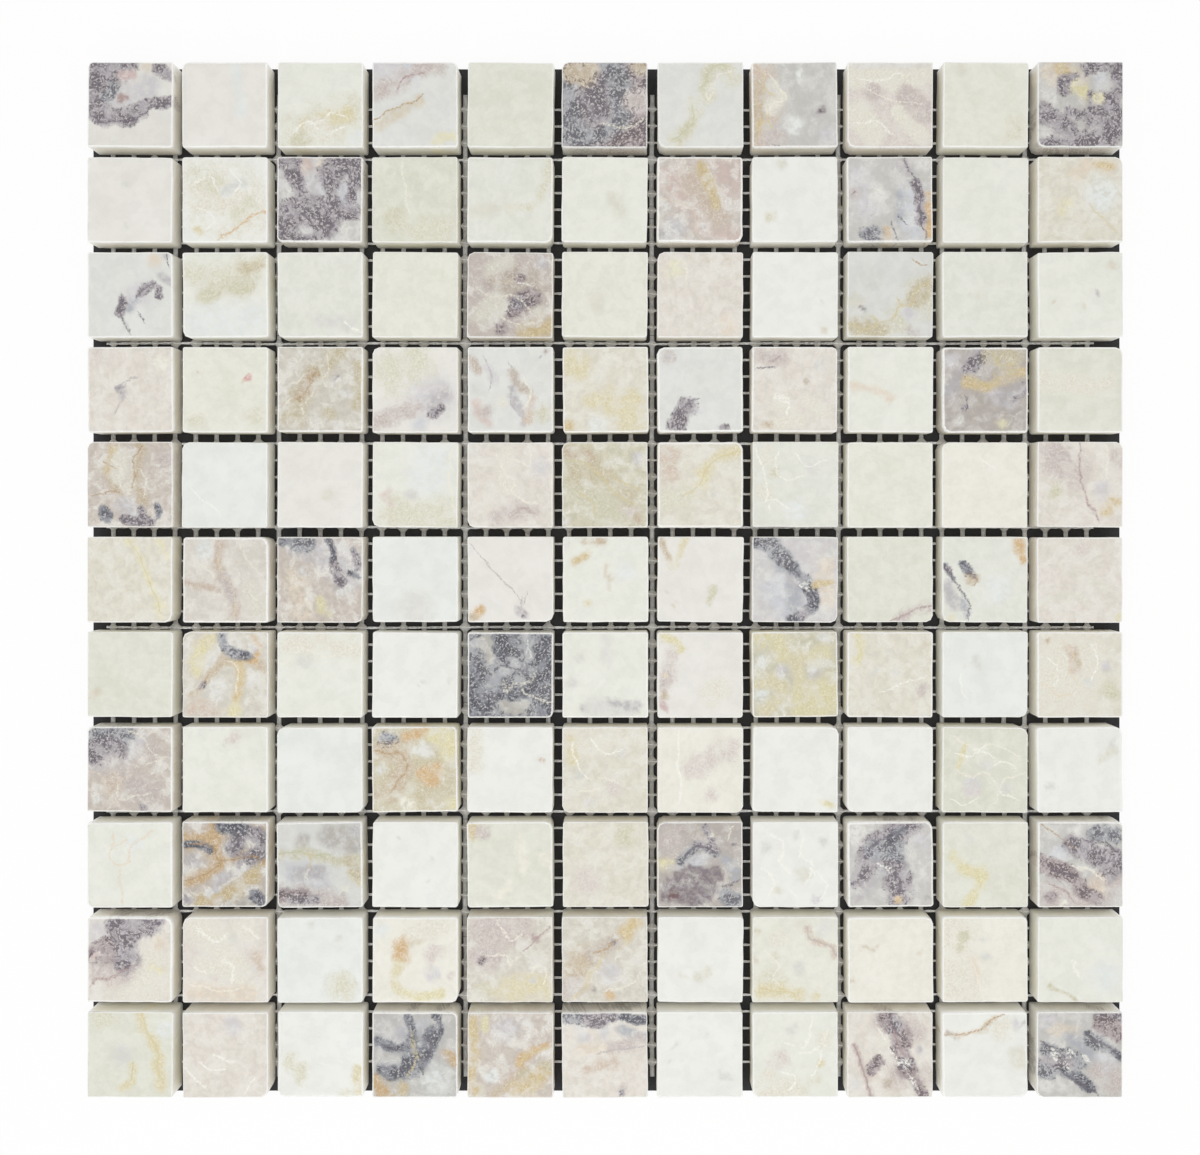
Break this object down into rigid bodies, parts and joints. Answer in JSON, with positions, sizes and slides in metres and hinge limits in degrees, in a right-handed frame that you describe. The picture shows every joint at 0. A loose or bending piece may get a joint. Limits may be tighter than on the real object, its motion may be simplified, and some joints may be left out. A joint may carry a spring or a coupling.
{
  "type": "mosaic tile sheet",
  "caption": "Square sheet of small polished marble tiles with soft edges, held at an even spacing by a glass-fibre net bonded to their backs, for bedding on a wall or floor.",
  "frame": {"origin": "under the centre of the square sheet, in the plane of the net's back", "axes": "+X across the sheet to the right, +Y up the sheet as pictured, +Z out of the stones' polished face"},
  "size_m": [0.305, 0.305, 0.0099],
  "materials": {
    "marble": "polished white marble with grey-violet, gold and rose veins",
    "net": "resin-coated glass-fibre yarn with dried adhesive"
  },
  "bodies": {
    "root": {"tile_row_01": "marble", "tile_row_02": "marble", "tile_row_03": "marble", "tile_row_04": "marble", "tile_row_05": "marble", "tile_row_06": "marble", "tile_row_07": "marble", "tile_row_08": "marble", "tile_row_09": "marble", "tile_row_10": "marble", "tile_row_11": "marble", "net_panel_01": "net", "net_panel_02": "net", "net_panel_03": "net", "net_panel_04": "net", "net_panel_05": "net", "net_panel_06": "net", "net_panel_07": "net", "net_panel_08": "net"}
  },
  "joints": []
}
